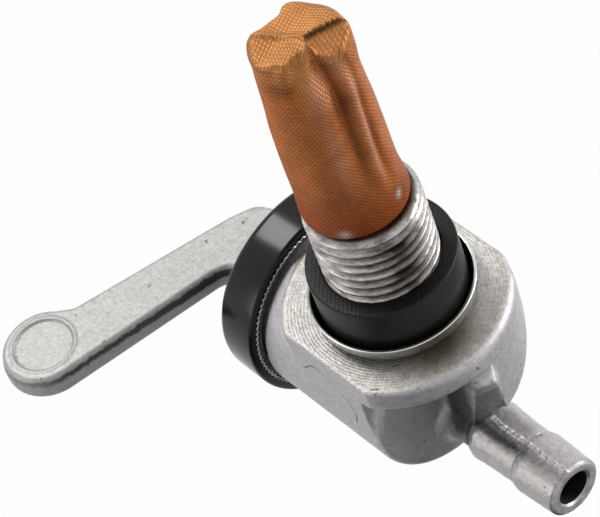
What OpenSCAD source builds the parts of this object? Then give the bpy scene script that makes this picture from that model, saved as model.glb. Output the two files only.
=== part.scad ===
// Fuel tap for a small petrol tank. Millimetres, +Z up the threaded stem.
// Origin on the stem axis in the plane of the gasket top, which meets the tank.
// +X runs to the hose barb, the lever points to -Y.

/* [Stem and flange] */
// Outside diameter of the threaded stem
stem_d = 13.157; // [12:0.001:20]
// Stem height above the gasket
stem_h = 9.7; // [6:0.1:14]
// Height above the gasket where the full thread starts
thread_start = 0.3; // [0.1:0.1:1]
// Depth of the plain undercut below the thread
thread_relief = 0.25; // [0.1:0.05:1]
// Diameter of the wide mouth of the stem bore
stem_mouth_d = 10.6; // [8:0.1:11]
// Depth of the wide mouth
stem_mouth_depth = 7.5; // [4:0.1:9]
// Diameter of the fuel passage below the mouth
inlet_d = 7.0; // [4:0.1:8]
// Drop from the gasket top to the flange top
flange_drop = 7.8; // [6:0.1:10]
// Flange diameter
flange_d = 26.2; // [22:0.1:32]
// Flange thickness
flange_t = 2.9; // [2:0.1:5]

/* [Valve housing] */
// Drop from the gasket top to the valve axis
valve_drop = 18.8; // [16:0.1:24]
// Half width of the housing, which is also its bottom radius
house_r = 11.3; // [9:0.1:14]
// Distance from the stem axis to the front end face
house_front = 6.0; // [4:0.1:9]
// Distance from the stem axis back to the shoulder of the cap rim
house_back = 13.4; // [12:0.1:16]
// Radius of the rounded edge at the front end
house_round = 1.0; // [0.5:0.1:3]
// Radius of the web that hangs below the far side of the flange
web_r = 10.9; // [7:0.1:12]
// Drop from the flange top to the centre of the web radius
web_drop = 0.7; // [0:0.1:5]
// Offset of the near side of the web from the stem axis
web_side = 1.1; // [0:0.1:4]
// Width of the rib between the flange and the barb
rib_w = 3.2; // [1:0.1:5]
// Distance that the foot of the rib lies behind the flange edge
rib_lean = 2.6; // [0:0.1:5]
// Distance that the top of the rib stands out beyond the flange edge
rib_nose = 0.8; // [0.1:0.1:2]
// Radius of the cap rim
rim_r = 10.4; // [9:0.1:11]
// Distance from the stem axis back to the end of the cap rim
rim_end = 17.4; // [16:0.1:20]
// Radius of the valve chamber
chamber_r = 9.3; // [8:0.1:10]
// Distance from the stem axis back to the chamber floor
chamber_floor = 10.6; // [9:0.1:12]
// Distance of both ports from the valve axis
port_off = 5.6; // [4:0.1:6.5]
// Diameter of the upper port
port_d = 3.6; // [2:0.1:5]

/* [Hose barb] */
// Distance from the stem axis to the barb tip
barb_end = 23.4; // [20:0.1:32]
// Radius of the plain root of the barb
barb_root_r = 3.15; // [2.5:0.05:4]
// Radius of the barb shoulders
barb_shoulder_r = 3.75; // [3:0.05:5]
// Radius of the barb barrels at their thin end
barb_tip_r = 3.45; // [2.8:0.05:4.5]
// Radial growth of the fillet at the foot of the barb
barb_flare = 1.3; // [0.5:0.1:2]
// Length of the full radius behind each barb shoulder
shoulder_len = 1.6; // [0.5:0.1:3]
// Distance from the stem axis to the first shoulder
barb_first = 10.1; // [8:0.1:14]
// Distance from the stem axis to the second shoulder
barb_second = 17.0; // [14:0.1:20]
// Bore of the barb
outlet_d = 4.2; // [2.5:0.1:5]

/* [Cap ring] */
// Outside radius of the cap ring
cap_r = 12.9; // [11:0.1:15]
// Distance from the stem axis to the near face of the cap
cap_near = 14.1; // [13.5:0.1:16]
// Distance from the stem axis to the far face of the cap
cap_far = 19.5; // [18:0.1:22]
// Radius of the opening for the lever
cap_open_r = 7.6; // [5:0.1:9]
// Clearance between the cap and the rim
cap_fit = 0.08; // [0.02:0.01:0.3]

/* [Lever] */
// Radius of the valve disc of the lever
hub_r = 9.2; // [7:0.05:9.5]
// Thickness of the valve disc
hub_t = 3.0; // [2:0.1:4]
// Radius of the lever neck where it passes the cap
neck_r = 7.0; // [4:0.1:8]
// Thickness of the lever arm
arm_t = 3.2; // [2:0.1:5]
// Width of the arm at the bend
arm_w = 6.7; // [4:0.1:9]
// Inward run of the outer edge of the arm where it leaves the grip
arm_flare = 1.4; // [0.5:0.1:3]
// Lean of the inner edge of the arm in degrees
arm_lean = 10.1; // [0:0.1:25]
// Radius of the round end of the lever
grip_r = 5.35; // [4:0.05:8]
// Radius of the shallow round recess at the end
recess_r = 3.75; // [2:0.05:6]
// Depth of the recess
recess_depth = 0.25; // [0.1:0.05:1]
// Distance from the stem axis back to the grip centre
grip_x = 35.8; // [30:0.1:44]
// Distance from the valve axis out to the grip centre
grip_y = 26.95; // [18:0.05:60]
// Half width of the lever neck on the barb side
neck_in = 5.4; // [3:0.1:6]
// Half width of the lever neck on the other side
neck_out = 4.4; // [3:0.1:6]
// Turning range of the lever
lever_turn = 90; // [60:1:180]

/* [Gasket, washer and filter] */
// Outside radius of the gasket
gasket_r = 8.5; // [7:0.1:12]
// Inside radius of the gasket
gasket_in_r = 6.65; // [6.6:0.05:7.5]
// Gap between the side of the gasket and the washer
washer_gap = 0.1; // [0.05:0.05:1]
// Outward flare of the washer rim
washer_flare = 0.3; // [0.1:0.1:1]
// Height of the washer rim
washer_h = 2.6; // [1:0.1:4]
// Thickness of the washer metal
washer_t = 0.6; // [0.3:0.1:1.2]
// Half width of the filter sleeve above the stem
filter_r = 5.95; // [5.6:0.05:6.2]
// Half width of the filter sleeve at its closed end
filter_end_r = 5.2; // [4:0.1:6]
// Sideways lean of the sleeve
filter_lean = 0.4; // [0:0.05:0.6]
// Height of the filter sleeve above the stem
filter_h = 26.5; // [18:0.5:60]
// Depth of the pinched fold that runs down the sleeve
filter_fold = 1.0; // [0:0.1:1.5]
// Turn of the folded side of the sleeve from +X
filter_turn = -25.3; // [-180:0.1:180]
// Thickness of the gauze
gauze_t = 0.35; // [0.2:0.05:0.8]
// Thickness of the collar metal
collar_t = 0.5; // [0.3:0.05:0.8]

/* [Hidden] */
$fn = 72;
zf = -flange_drop;
zv = -valve_drop;
zb = zv - port_off;
zu = zv + port_off;
flat_y = house_r;
seal_t = 2.2;
hub_x = chamber_floor + seal_t;
hub_back = hub_x + hub_t;
cap_wall = 1.9;
spring_x = hub_back + 0.02;
kidney_w = port_d;
kidney_deep = 0.6 * hub_t;
pad_r = 0.84 * hub_r;
pad_w = 0.24 * hub_r;
pad_h = 0.5 * hub_t;
gauze_fit = 0.02;
tuck_r = stem_mouth_d / 2 - gauze_fit;
collar_r = tuck_r - gauze_t - gauze_fit;
collar_in = collar_r - collar_t;
tuck_z = stem_h - stem_mouth_depth + 0.5;
seal_port_gap = 0.2;
washer_r = gasket_r + washer_gap + washer_flare + washer_t;
slab = 3 * flange_d;
root_start = house_front - 2;
root_long = 1.4;
rib_top = zf - flange_t - 0.2;
rib_bottom = zb + 0.9 * barb_root_r;
sleeve_top = stem_h + filter_h;
sleeve_turns = 40;
tuck_in = tuck_r - (tuck_r - gauze_t) / cos(180 / sleeve_turns);

module xcyl(r, x0, x1, y = 0, z = 0) {
  translate([x0, y, z]) rotate([0, 90, 0]) cylinder(r = r, h = x1 - x0);
}

module xturn(pts, z = 0) {
  translate([0, 0, z]) rotate([0, 90, 0]) rotate_extrude() polygon(pts);
}

// Solid shape of the cast body before its passages are cut
module body_solid() {
  // stem and flange turned about +Z
  rotate_extrude() polygon([
    [0, zf - 1], [stem_d / 2 - thread_relief, zf - 1],
    [stem_d / 2 - thread_relief, thread_start], [stem_d / 2, thread_start],
    [stem_d / 2, stem_h - 0.9], [stem_d / 2 - 0.9, stem_h], [0, stem_h]]);
  difference() {
    rotate_extrude() polygon([
      [0, zf - flange_t - 0.4], [flange_d / 2 - 0.5, zf - flange_t - 0.4],
      [flange_d / 2, zf - flange_t + 0.1], [flange_d / 2, zf - 0.45],
      [flange_d / 2 - 0.45, zf], [0, zf]]);
    for (side = [-1, 1])
      translate([-slab / 2, side * (flat_y + slab / 2) - slab / 2, zf - slab / 2]) cube(slab);
  }
  // housing with flat sides and a round bottom, kept below the flange top
  intersection() {
    xturn([[0, -house_back], [house_r, -house_back],
      [house_r, house_front - house_round],
      [house_r - 0.3 * house_round, house_front - 0.3 * house_round],
      [house_r - house_round, house_front], [0, house_front]], zv);
    translate([-2 * house_back, -2 * house_r, zf - 0.5 - 4 * house_r]) cube(4 * house_r);
  }
  // flat sides below the flange, no wider than the flange itself
  intersection() {
    translate([-house_back, -house_r, zv])
      cube([house_back + house_front - house_round, 2 * house_r, zf - flange_t - zv]);
    translate([0, 0, zv]) cylinder(d = flange_d - 0.3, h = zf - zv - 1);
  }
  // web that hangs below the flange on the far side
  intersection() {
    translate([0, 0, zb]) cylinder(r = flange_d / 2 - 0.05, h = zf - zb - 0.6);
    xcyl(web_r, 1, flange_d / 2 + 1, 0, zf - web_drop);
    translate([0, web_side, zb - 1]) cube([flange_d, flat_y - web_side - 0.1, flange_d]);
  }
  // sloping rib between the flange and the foot of the barb
  translate([0, web_side + 0.1, 0]) rotate([90, 0, 0]) linear_extrude(height = rib_w) polygon([
    [house_front - 1, rib_top + 1], [flange_d / 2 - 0.6, rib_top + 1],
    [flange_d / 2 + 0.25 * rib_nose, rib_top - 0.3], [flange_d / 2 + rib_nose, rib_top - 1.9],
    [flange_d / 2 - rib_lean, rib_bottom], [house_front - 1, rib_bottom]]);
  // rim that carries the cap
  xcyl(rim_r, -rim_end, -house_back + 0.5, 0, zv);
  // hose barb
  xturn([[0, root_start], [barb_root_r + barb_flare, root_start],
    [barb_root_r + barb_flare, house_front], [barb_root_r + 0.4, house_front + 0.5],
    [barb_root_r, house_front + root_long], [barb_root_r, barb_first],
    [barb_shoulder_r - 0.25, barb_first], [barb_shoulder_r, barb_first + 0.6],
    [barb_shoulder_r, barb_first + shoulder_len], [barb_tip_r, barb_second],
    [barb_shoulder_r - 0.15, barb_second], [barb_shoulder_r + 0.05, barb_second + 0.5],
    [barb_shoulder_r, barb_second + shoulder_len], [barb_tip_r + 0.1, barb_end - 0.35],
    [barb_tip_r - 0.25, barb_end], [0, barb_end]], zb);
}

module body() {
  color([0.72, 0.71, 0.69])
  difference() {
    body_solid();
    // wide mouth and inlet passage
    translate([0, 0, stem_h - stem_mouth_depth]) cylinder(d = stem_mouth_d, h = stem_mouth_depth + 1);
    translate([0, 0, zu - port_d / 2]) cylinder(d = inlet_d, h = stem_h - zu);
    // valve chamber
    xcyl(chamber_r, -rim_end - 1, -chamber_floor, 0, zv);
    // upper port from the inlet and lower port to the barb
    xcyl(port_d / 2, -chamber_floor - 1, 0, 0, zu);
    xcyl(outlet_d / 2, -chamber_floor - 1, barb_end + 1, 0, zb);
  }
}

module gasket() {
  lift = zf + washer_t + 0.02;
  color([0.03, 0.03, 0.03])
  rotate_extrude() polygon([
    [gasket_in_r, lift], [gasket_r - 0.7, lift], [gasket_r, lift + 0.9],
    [gasket_r, -0.35], [gasket_r - 0.35, 0],
    [gasket_in_r + 0.2, 0], [gasket_in_r, -0.2]]);
}

module cup_washer() {
  color([0.80, 0.80, 0.80])
  rotate_extrude() polygon([
    [gasket_in_r, zf + 0.01], [washer_r - 1.2, zf + 0.01], [washer_r - 0.35, zf + 0.7],
    [washer_r, zf + washer_h - 0.15], [washer_r - 0.15, zf + washer_h],
    [washer_r - washer_t, zf + washer_h], [washer_r - washer_t - 0.3, zf + 0.95],
    [washer_r - 1.4, zf + washer_t], [gasket_in_r, zf + washer_t]]);
}

module filter_collar() {
  color([0.66, 0.60, 0.52])
  rotate_extrude() polygon([
    [collar_in, tuck_z], [collar_r, tuck_z], [collar_r, stem_h - 0.3], [collar_in, stem_h - 0.3]]);
}

// Rows of height above the stem, half width, half depth and sideways lean of the sleeve
sleeve_rows = [[tuck_z - stem_h, tuck_r, tuck_r, 0], [0.05, tuck_r, tuck_r, 0],
  [0.9, filter_r, filter_r, 0.8 * filter_lean],
  [0.39 * filter_h, filter_r - 0.2, filter_r - 0.25, 1.2 * filter_lean],
  [0.77 * filter_h, filter_end_r, filter_end_r, filter_lean], [filter_h, filter_end_r, filter_end_r, 0]];
// Rows of angle, radius and drop of the corners of the folded end
sleeve_rim = [[-180, 0.88, 0], [-163, 0.71, 0], [-131, 0.79, 0], [-112, 1.0, 0.2], [-70, 1.06, 0.6],
  [-42, 0.88, 0.8], [-18, 0.62, 1.0], [8, 0.5, 1.9], [30, 0.74, 2.3], [58, 0.95, 2.0], [76, 1.0, 1.0],
  [98, 0.87, 0.2], [145, 0.78, 0], [180, 0.88, 0]];

function column(rows, c) = [for (row = rows) [row[0], row[c]]];
function ease(x, a, b) = let (t = max(0, min(1, (x - a) / (b - a)))) t * t * (3 - 2 * t);
function bell(x, middle, width) = exp(-pow((x - middle) / width, 2));
function rim_z(a) = filter_h - lookup(a, column(sleeve_rim, 2));
function sleeve_r(a, h) = let (
  wide = lookup(h, column(sleeve_rows, 1)), deep = lookup(h, column(sleeve_rows, 2)),
  plain_r = 1 / sqrt(pow(cos(a) / deep, 2) + pow(sin(a) / wide, 2)),
  fold_r = plain_r - filter_fold * ease(h, 0.15 * filter_h, 0.8 * filter_h) * bell(a, 18, 11),
  shut = ease(h, 0.74 * filter_h, rim_z(a) + 0.2))
  fold_r + (filter_end_r * lookup(a, column(sleeve_rim, 1)) - fold_r) * shut;
function sleeve_point(a, h, in) = let (
  r = sleeve_r(a, h) - in, lean = lookup(h, column(sleeve_rows, 3)) * (1 - ease(h, 0.74 * filter_h, filter_h)),
  x = r * cos(a), y = r * sin(a) - lean)
  [x * cos(filter_turn) - y * sin(filter_turn), x * sin(filter_turn) + y * cos(filter_turn),
   stem_h + h - in * ease(h, 0.5 * filter_h, filter_h)];

// Heights of the points of one wall, from the tucked foot to the rim, as parts of the rim height
sleeve_steps = [0.035, 0.11, 0.2, 0.3, 0.4, 0.5, 0.6, 0.69, 0.78, 0.85, 0.91, 0.96, 1];

function sleeve_side(in) = [
  for (h = [tuck_z - stem_h, 0.05]) [for (k = [0:sleeve_turns - 1])
    sleeve_point(k * 360 / sleeve_turns - 180, h, in > 0 ? tuck_in : 0)],
  for (step = sleeve_steps) [for (k = [0:sleeve_turns - 1])
    let (a = k * 360 / sleeve_turns - 180) sleeve_point(a, step * (rim_z(a) - 0.5), in)]];

// The folded end closes towards a point in front of the stem axis
function sleeve_end(in) = let (
  rim = [for (k = [0:sleeve_turns - 1])
    let (a = k * 360 / sleeve_turns - 180) sleeve_point(a, rim_z(a) - 0.5, in)],
  mid = [0.85 * cos(filter_turn), 0.85 * sin(filter_turn), sleeve_top - 0.6 - in])
  [for (part = [[0.1, 0.75], [0.4, 0.95], [0.75, 1]]) [for (p = rim)
    [p[0] + (mid[0] - p[0]) * part[0], p[1] + (mid[1] - p[1]) * part[0],
     p[2] + (mid[2] + 0.35 * sign(mid[2] - p[2]) * (1 - part[0]) - p[2]) * part[1]]]];

// Closed gauze tube that is tucked into the stem mouth, bulges above it and is folded shut
module filter_sleeve() {
  n = sleeve_turns;
  outer = concat(sleeve_side(0), sleeve_end(0));
  inner = concat(sleeve_side(gauze_t), sleeve_end(gauze_t));
  rows = concat([for (k = [len(inner) - 1:-1:0]) inner[k]], outer);
  last = len(rows) - 1;
  tip = [for (in = [gauze_t, 0])
    [0.85 * cos(filter_turn), 0.85 * sin(filter_turn), sleeve_top - 0.6 - in]];
  points = concat([for (row = rows) each row], tip);
  far = (last + 1) * n;
  color([0.66, 0.36, 0.20])
  polyhedron(points, concat(
    [for (i = [0:last - 1], k = [0:n - 1]) let (m = (k + 1) % n)
      each [[i * n + k, (i + 1) * n + k, i * n + m], [i * n + m, (i + 1) * n + k, (i + 1) * n + m]]],
    [for (k = [0:n - 1]) [far, k, (k + 1) % n]],
    [for (k = [0:n - 1]) [far + 1, last * n + (k + 1) % n, last * n + k]]));
}

module cap_ring() {
  color([0.04, 0.04, 0.045])
  xturn([[rim_r + cap_fit, -cap_near], [cap_r - 0.5, -cap_near], [cap_r, -cap_near - 0.5],
    [cap_r, -cap_far + 1.3], [cap_r - 0.4, -cap_far + 0.4], [cap_r - 1.3, -cap_far],
    [cap_open_r + 0.3, -cap_far], [cap_open_r, -cap_far + 0.3],
    [cap_open_r, -cap_far + cap_wall], [rim_r + cap_fit, -cap_far + cap_wall]], zv);
}

module valve_seal() {
  color([0.06, 0.06, 0.06])
  difference() {
    xcyl(hub_r, -hub_x, -chamber_floor, 0, zv);
    xcyl(port_d / 2 + seal_port_gap, -hub_x - 1, -chamber_floor + 1, 0, zu);
    xcyl(outlet_d / 2 + seal_port_gap, -hub_x - 1, -chamber_floor + 1, 0, zb);
  }
}

module wave_spring() {
  color([0.70, 0.70, 0.72])
  difference() {
    union() {
      xcyl(hub_r, -spring_x - 0.4, -spring_x, 0, zv);
      for (a = [0, 120, 240]) translate([-spring_x - 0.2 - pad_h, 0, zv])
        rotate([a, 0, 0]) translate([0, -pad_w / 2, pad_r]) cube([pad_h, pad_w, 0.12 * hub_r]);
    }
    xcyl(neck_r + 0.5, -spring_x - 3, -spring_x + 1, 0, zv);
  }
}

module lever() {
  color([0.74, 0.73, 0.71])
  difference() {
    union() {
      // valve disc and round neck
      xcyl(hub_r - 0.05, -hub_back, -hub_x - 0.02, 0, zv);
      xcyl(neck_r, -cap_far - 0.9, -hub_back + 0.5, 0, zv);
      // flat arm in the plane of the valve axis
      translate([0, 0, zv - arm_t / 2]) linear_extrude(height = arm_t) arm_outline();
    }
    // crescent groove that joins the ports when the lever is down
    translate([-hub_x - kidney_deep, 0, zv]) rotate([0, 90, 0]) rotate([0, 0, 90])
      rotate_extrude(angle = 180) translate([port_off - kidney_w / 2, 0])
      square([kidney_w, 2 * kidney_deep]);
    // shallow round recess at the grip
    translate([-grip_x, -grip_y, zv + arm_t / 2 - recess_depth]) cylinder(r = recess_r, h = 2);
  }
}

// Outline of the arm: its inner edge runs straight into the round grip
module arm_outline() {
  touch = [-grip_x + grip_r * cos(arm_lean), -grip_y - grip_r * sin(arm_lean)];
  waist = [-grip_x + grip_r * cos(124), -grip_y + grip_r * sin(124)];
  bend = touch[0] + tan(arm_lean) * (-neck_in - touch[1]);
  outer = bend - arm_w;
  polygon([[-cap_far + 1, -neck_in], [bend + 0.8, -neck_in], [bend, -neck_in - 0.8],
    [bend - tan(arm_lean) * 2, -neck_in - 2], touch, [-grip_x, -grip_y], waist,
    [waist[0] + arm_flare, waist[1] + 1.5],
    [outer, -neck_in], [outer + 0.7, -0.4 * neck_out], [outer + 2.0, 0.5 * neck_out],
    [outer + 4, 0.9 * neck_out], [outer + 6, neck_out], [-cap_far + 1, neck_out]]);
  translate([-grip_x, -grip_y]) circle(r = grip_r);
}

body();
gasket();
cup_washer();
filter_collar();
filter_sleeve();
cap_ring();
valve_seal();
wave_spring();
lever();
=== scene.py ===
"""Looks for a small-engine fuel tap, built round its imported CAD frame.

Lengths in the tables below are millimetres; meshes are made in metres with MM.
Frame: origin on the stem axis at the gasket top, +Z up the stem, +X along the barb.
"""
import math

import bmesh
import bpy
from mathutils import Matrix, Vector, noise


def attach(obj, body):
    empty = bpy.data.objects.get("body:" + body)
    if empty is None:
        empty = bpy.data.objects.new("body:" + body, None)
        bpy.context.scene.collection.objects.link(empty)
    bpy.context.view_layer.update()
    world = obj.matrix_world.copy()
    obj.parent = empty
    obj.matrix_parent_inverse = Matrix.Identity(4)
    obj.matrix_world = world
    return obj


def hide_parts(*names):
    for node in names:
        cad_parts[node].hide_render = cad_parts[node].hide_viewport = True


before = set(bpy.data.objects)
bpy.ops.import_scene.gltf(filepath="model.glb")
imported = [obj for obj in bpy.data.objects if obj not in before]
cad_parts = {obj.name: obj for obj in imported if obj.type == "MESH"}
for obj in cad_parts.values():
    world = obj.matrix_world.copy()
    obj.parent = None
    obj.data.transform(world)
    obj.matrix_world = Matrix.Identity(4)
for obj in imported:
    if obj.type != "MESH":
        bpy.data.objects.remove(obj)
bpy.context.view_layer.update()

MM = 0.001
TAU = 2 * math.pi

# Heights and places shared by several pieces
FLANGE_TOP = -7.8
FLANGE_T = 2.9
FLANGE_R = 13.1
FLAT_Y = 11.3
VALVE_Z = -18.8
HOUSE_R = 11.3
HOUSE_BACK = 13.4
HOUSE_FRONT = 6.0
BARB_Z = -24.4
BARB_END = 23.4
STEM_R = 6.5785
STEM_TOP = 9.7
PITCH = 1.337
CAP_NEAR = 14.1
CAP_FAR = 19.5
CAP_R = 12.9


# Mesh helpers
def clamp(value, low=0.0, high=1.0):
    return max(low, min(high, value))


def smooth(value, start, end):
    """0 before start, 1 after end, smooth between."""
    t = clamp((value - start) / (end - start))
    return t * t * (3 - 2 * t)


def bell(x, centre, width):
    return math.exp(-((x - centre) / width) ** 2)


def fillet(points, steps=5):
    """Rounds the corners of a profile. Each point is (r, h) or (r, h, radius)."""
    out = []
    n = len(points)
    for i, p in enumerate(points):
        radius = p[2] if len(p) > 2 else 0
        here = Vector(p[:2])
        if not radius:
            out.append(tuple(here))
            continue
        a = Vector(points[i - 1][:2]) - here
        b = Vector(points[(i + 1) % n][:2]) - here
        half = a.angle(b) / 2
        cut = min(radius / math.tan(half), 0.49 * a.length, 0.49 * b.length)
        pa, pb = here + a.normalized() * cut, here + b.normalized() * cut
        for k in range(steps + 1):
            t = k / steps
            out.append(tuple(pa * (1 - t) ** 2 + here * 2 * t * (1 - t) + pb * t * t))
    return out


def new_object(name, verts, faces, shade=True):
    mesh = bpy.data.meshes.new(name)
    mesh.from_pydata([tuple(MM * c for c in v) for v in verts], [], faces)
    mesh.validate()
    obj = bpy.data.objects.new(name, mesh)
    bpy.context.scene.collection.objects.link(obj)
    bm = bmesh.new()
    bm.from_mesh(mesh)
    bmesh.ops.remove_doubles(bm, verts=bm.verts, dist=1e-8)
    bmesh.ops.recalc_face_normals(bm, faces=bm.faces)
    bm.to_mesh(mesh)
    bm.free()
    mesh.polygons.foreach_set("use_smooth", [shade] * len(mesh.polygons))
    return obj


def lathe(name, profile, segments=128, axis="Z", centre=(0, 0, 0), closed=False, warp=None):
    """Turns a profile of (r, h) about an axis through centre. A closed profile makes a ring."""
    verts, faces = [], []
    for r, h in profile:
        for k in range(segments):
            a = TAU * k / segments
            rr = warp(r, h, a) if warp else r
            if axis == "Z":
                verts.append((centre[0] + rr * math.cos(a), centre[1] + rr * math.sin(a), centre[2] + h))
            else:
                verts.append((centre[0] + h, centre[1] + rr * math.cos(a), centre[2] + rr * math.sin(a)))
    rows = len(profile)
    for i in range(rows if closed else rows - 1):
        j = (i + 1) % rows
        for k in range(segments):
            m = (k + 1) % segments
            faces.append((i * segments + k, i * segments + m, j * segments + m, j * segments + k))
    return new_object(name, verts, faces)


def box(name, low, high):
    v = [(x, y, z) for x in (low[0], high[0]) for y in (low[1], high[1]) for z in (low[2], high[2])]
    f = [(0, 1, 3, 2), (4, 6, 7, 5), (0, 4, 5, 1), (2, 3, 7, 6), (0, 2, 6, 4), (1, 5, 7, 3)]
    return new_object(name, v, f, shade=False)


def hull(name, points):
    """Convex solid round some points."""
    bm = bmesh.new()
    for p in points:
        bm.verts.new([MM * c for c in p])
    bmesh.ops.convex_hull(bm, input=bm.verts)
    bmesh.ops.delete(bm, geom=[v for v in bm.verts if not v.link_faces], context="VERTS")
    mesh = bpy.data.meshes.new(name)
    bm.to_mesh(mesh)
    bm.free()
    obj = bpy.data.objects.new(name, mesh)
    bpy.context.scene.collection.objects.link(obj)
    return obj


def apply_modifiers(obj):
    graph = bpy.context.evaluated_depsgraph_get()
    mesh = bpy.data.meshes.new_from_object(obj.evaluated_get(graph))
    old = obj.data
    obj.modifiers.clear()
    obj.data = mesh
    bpy.data.meshes.remove(old)


def boolean(obj, other, operation="UNION"):
    mod = obj.modifiers.new("join", "BOOLEAN")
    mod.solver = "MANIFOLD"
    mod.operation = operation
    mod.object = other
    apply_modifiers(obj)
    bpy.data.objects.remove(other)


def soften(obj, voxel, rounds=4, factor=0.5):
    """Voxel remesh and smoothing: gives a casting its small radii."""
    mod = obj.modifiers.new("voxel", "REMESH")
    mod.mode = "VOXEL"
    mod.voxel_size = voxel * MM
    mod.use_smooth_shade = True
    mod = obj.modifiers.new("smooth", "SMOOTH")
    mod.factor = factor
    mod.iterations = rounds
    apply_modifiers(obj)


def paint(obj, name, rule):
    """Writes a colour attribute from a rule of the point (mm) and the normal."""
    layer = obj.data.color_attributes.new(name, "FLOAT_COLOR", "POINT")
    for v in obj.data.vertices:
        value = rule(v.co / MM, v.normal)
        if not isinstance(value, tuple):
            value = (value, value, value)
        layer.data[v.index].color = (*value, 1.0)


# Materials
class Nodes:
    """A short way to write a node material."""

    def __init__(self, name):
        self.mat = bpy.data.materials.new(name)
        self.mat.use_nodes = True
        self.tree = self.mat.node_tree
        self.bsdf = self.tree.nodes["Principled BSDF"]

    def add(self, kind, settings=None, **inputs):
        node = self.tree.nodes.new(kind)
        for key, value in (settings or {}).items():
            setattr(node, key, value)
        for key, value in inputs.items():
            key = int(key[1:]) if key[0] == "_" and key[1:].isdigit() else key.replace("_", " ")
            self.plug(value, node.inputs[key])
        return node

    def plug(self, value, socket):
        if isinstance(value, bpy.types.NodeSocket):
            self.tree.links.new(value, socket)
        else:
            socket.default_value = value

    def math(self, op, a, b=0.0, clamped=False):
        return self.add("ShaderNodeMath", {"operation": op, "use_clamp": clamped}, _0=a, _1=b).outputs[0]

    def noise(self, scale, detail=3.0, rough=0.6, vector=None):
        node = self.add("ShaderNodeTexNoise", Scale=scale, Detail=detail, Roughness=rough)
        self.plug(vector or self.coords(), node.inputs["Vector"])
        return node.outputs["Fac"]

    def coords(self, kind="Object"):
        return self.add("ShaderNodeTexCoord").outputs[kind]

    def split(self, vector=None):
        return self.add("ShaderNodeSeparateXYZ", Vector=vector or self.coords()).outputs

    def ramp(self, fac, stops):
        node = self.add("ShaderNodeValToRGB", Fac=fac)
        points = node.color_ramp.elements
        while len(points) < len(stops):
            points.new(0.5)
        for point, (place, colour) in zip(points, stops):
            point.position = place
            value = colour if isinstance(colour, tuple) else (colour,) * 3
            point.color = (*value, 1)
        return node.outputs["Color"]

    def mix(self, fac, a, b, blend="MIX"):
        node = self.add("ShaderNodeMix", {"data_type": "RGBA", "blend_type": blend})
        for value, socket in ((fac, node.inputs[0]), (a, node.inputs[6]), (b, node.inputs[7])):
            if isinstance(value, tuple) and len(value) == 3:
                value = (*value, 1)
            self.plug(value, socket)
        return node.outputs[2]

    def attribute(self, name):
        return self.add("ShaderNodeAttribute", {"attribute_name": name}).outputs["Fac"]

    def lines(self, across, up, paths, width):
        """0 on thin lines through points (mm) of a plane, 1 away from them."""
        best = None
        for path in paths:
            for (ax, ay), (bx, by) in zip(path, path[1:]):
                dx, dy = bx - ax, by - ay
                size = dx * dx + dy * dy
                px = self.math("SUBTRACT", self.math("MULTIPLY", across, 1000.0), ax)
                py = self.math("SUBTRACT", self.math("MULTIPLY", up, 1000.0), ay)
                dot = self.math("ADD", self.math("MULTIPLY", px, dx / size), self.math("MULTIPLY", py, dy / size))
                t = self.math("MAXIMUM", self.math("MINIMUM", dot, 1.0), 0.0)
                ex = self.math("SUBTRACT", px, self.math("MULTIPLY", t, dx))
                ey = self.math("SUBTRACT", py, self.math("MULTIPLY", t, dy))
                gap = self.math("SQRT", self.math("ADD", self.math("MULTIPLY", ex, ex),
                                                  self.math("MULTIPLY", ey, ey)))
                best = gap if best is None else self.math("MINIMUM", best, gap)
        return self.math("DIVIDE", best, width, True)

    def bump(self, height, distance, strength=1.0, normal=None):
        node = self.add("ShaderNodeBump", Height=height, Distance=distance, Strength=strength)
        if normal:
            self.plug(normal, node.inputs["Normal"])
        return node.outputs["Normal"]

    def finish(self, **inputs):
        for key, value in inputs.items():
            key = key.replace("_", " ")
            if isinstance(value, tuple) and len(value) == 3:
                value = (*value, 1)
            self.plug(value, self.bsdf.inputs[key])
        return self.mat


# Fine cold-shut lines in the flat side of the casting, as (x, z)
PITS = [[(6.9, -10.45), (7.5, -9.85)], [(6.5, -6.9), (7.0, -6.3)]]
CRACKS = [[(-4.9, -12.9), (-3.7, -11.5), (-2.6, -10.75), (-1.5, -10.7), (-1.1, -11.1)],
          [(1.2, -12.6), (2.2, -13.2), (2.7, -14.3), (3.0, -15.1), (2.3, -17.2)]]


def cast_metal(name, shade, tint, metallic):
    """Die-cast alloy: pale grey with fine grain and pits, darker where the attribute of grime and painted shade is
    high.
    """
    n = Nodes(name)
    fine = n.noise(5200, 3, 0.65)
    middle = n.noise(1300, 4, 0.65)
    pits = n.ramp(n.noise(900, 2, 0.5), [(0.24, 0.0), (0.30, 1.0)])
    grain = n.ramp(fine, [(0.30, 0.50 * shade), (0.50, 0.64 * shade), (0.72, 0.74 * shade)])
    cloud = n.ramp(middle, [(0.30, tuple(0.80 * c for c in tint)), (0.60, tint)])
    base = n.mix(1.0, grain, cloud, "MULTIPLY")
    base = n.mix(pits, (0.16, 0.14, 0.14), base)
    # Painted shade and light grime from the attribute darken the alloy here.
    base = n.mix(n.attribute("grime_and_shade"), base, (0.030, 0.026, 0.026))
    x, y, z = n.split()
    ragged = n.math("MULTIPLY", n.math("SUBTRACT", n.noise(1500, 2), 0.5), 0.0005)
    crack = n.lines(n.math("ADD", x, ragged), z, CRACKS, 0.10)
    crack = n.math("MAXIMUM", crack, n.math("GREATER_THAN", y, -0.0105))
    base = n.mix(crack, (0.045, 0.040, 0.045), base)
    bump = n.bump(fine, 0.00005, 0.45, n.bump(middle, 0.00010, 0.5, n.bump(crack, 0.0002, 1.0)))
    return n.finish(Base_Color=base, Metallic=metallic, Roughness=0.53 - 0.17 * metallic, Normal=bump)


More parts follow.
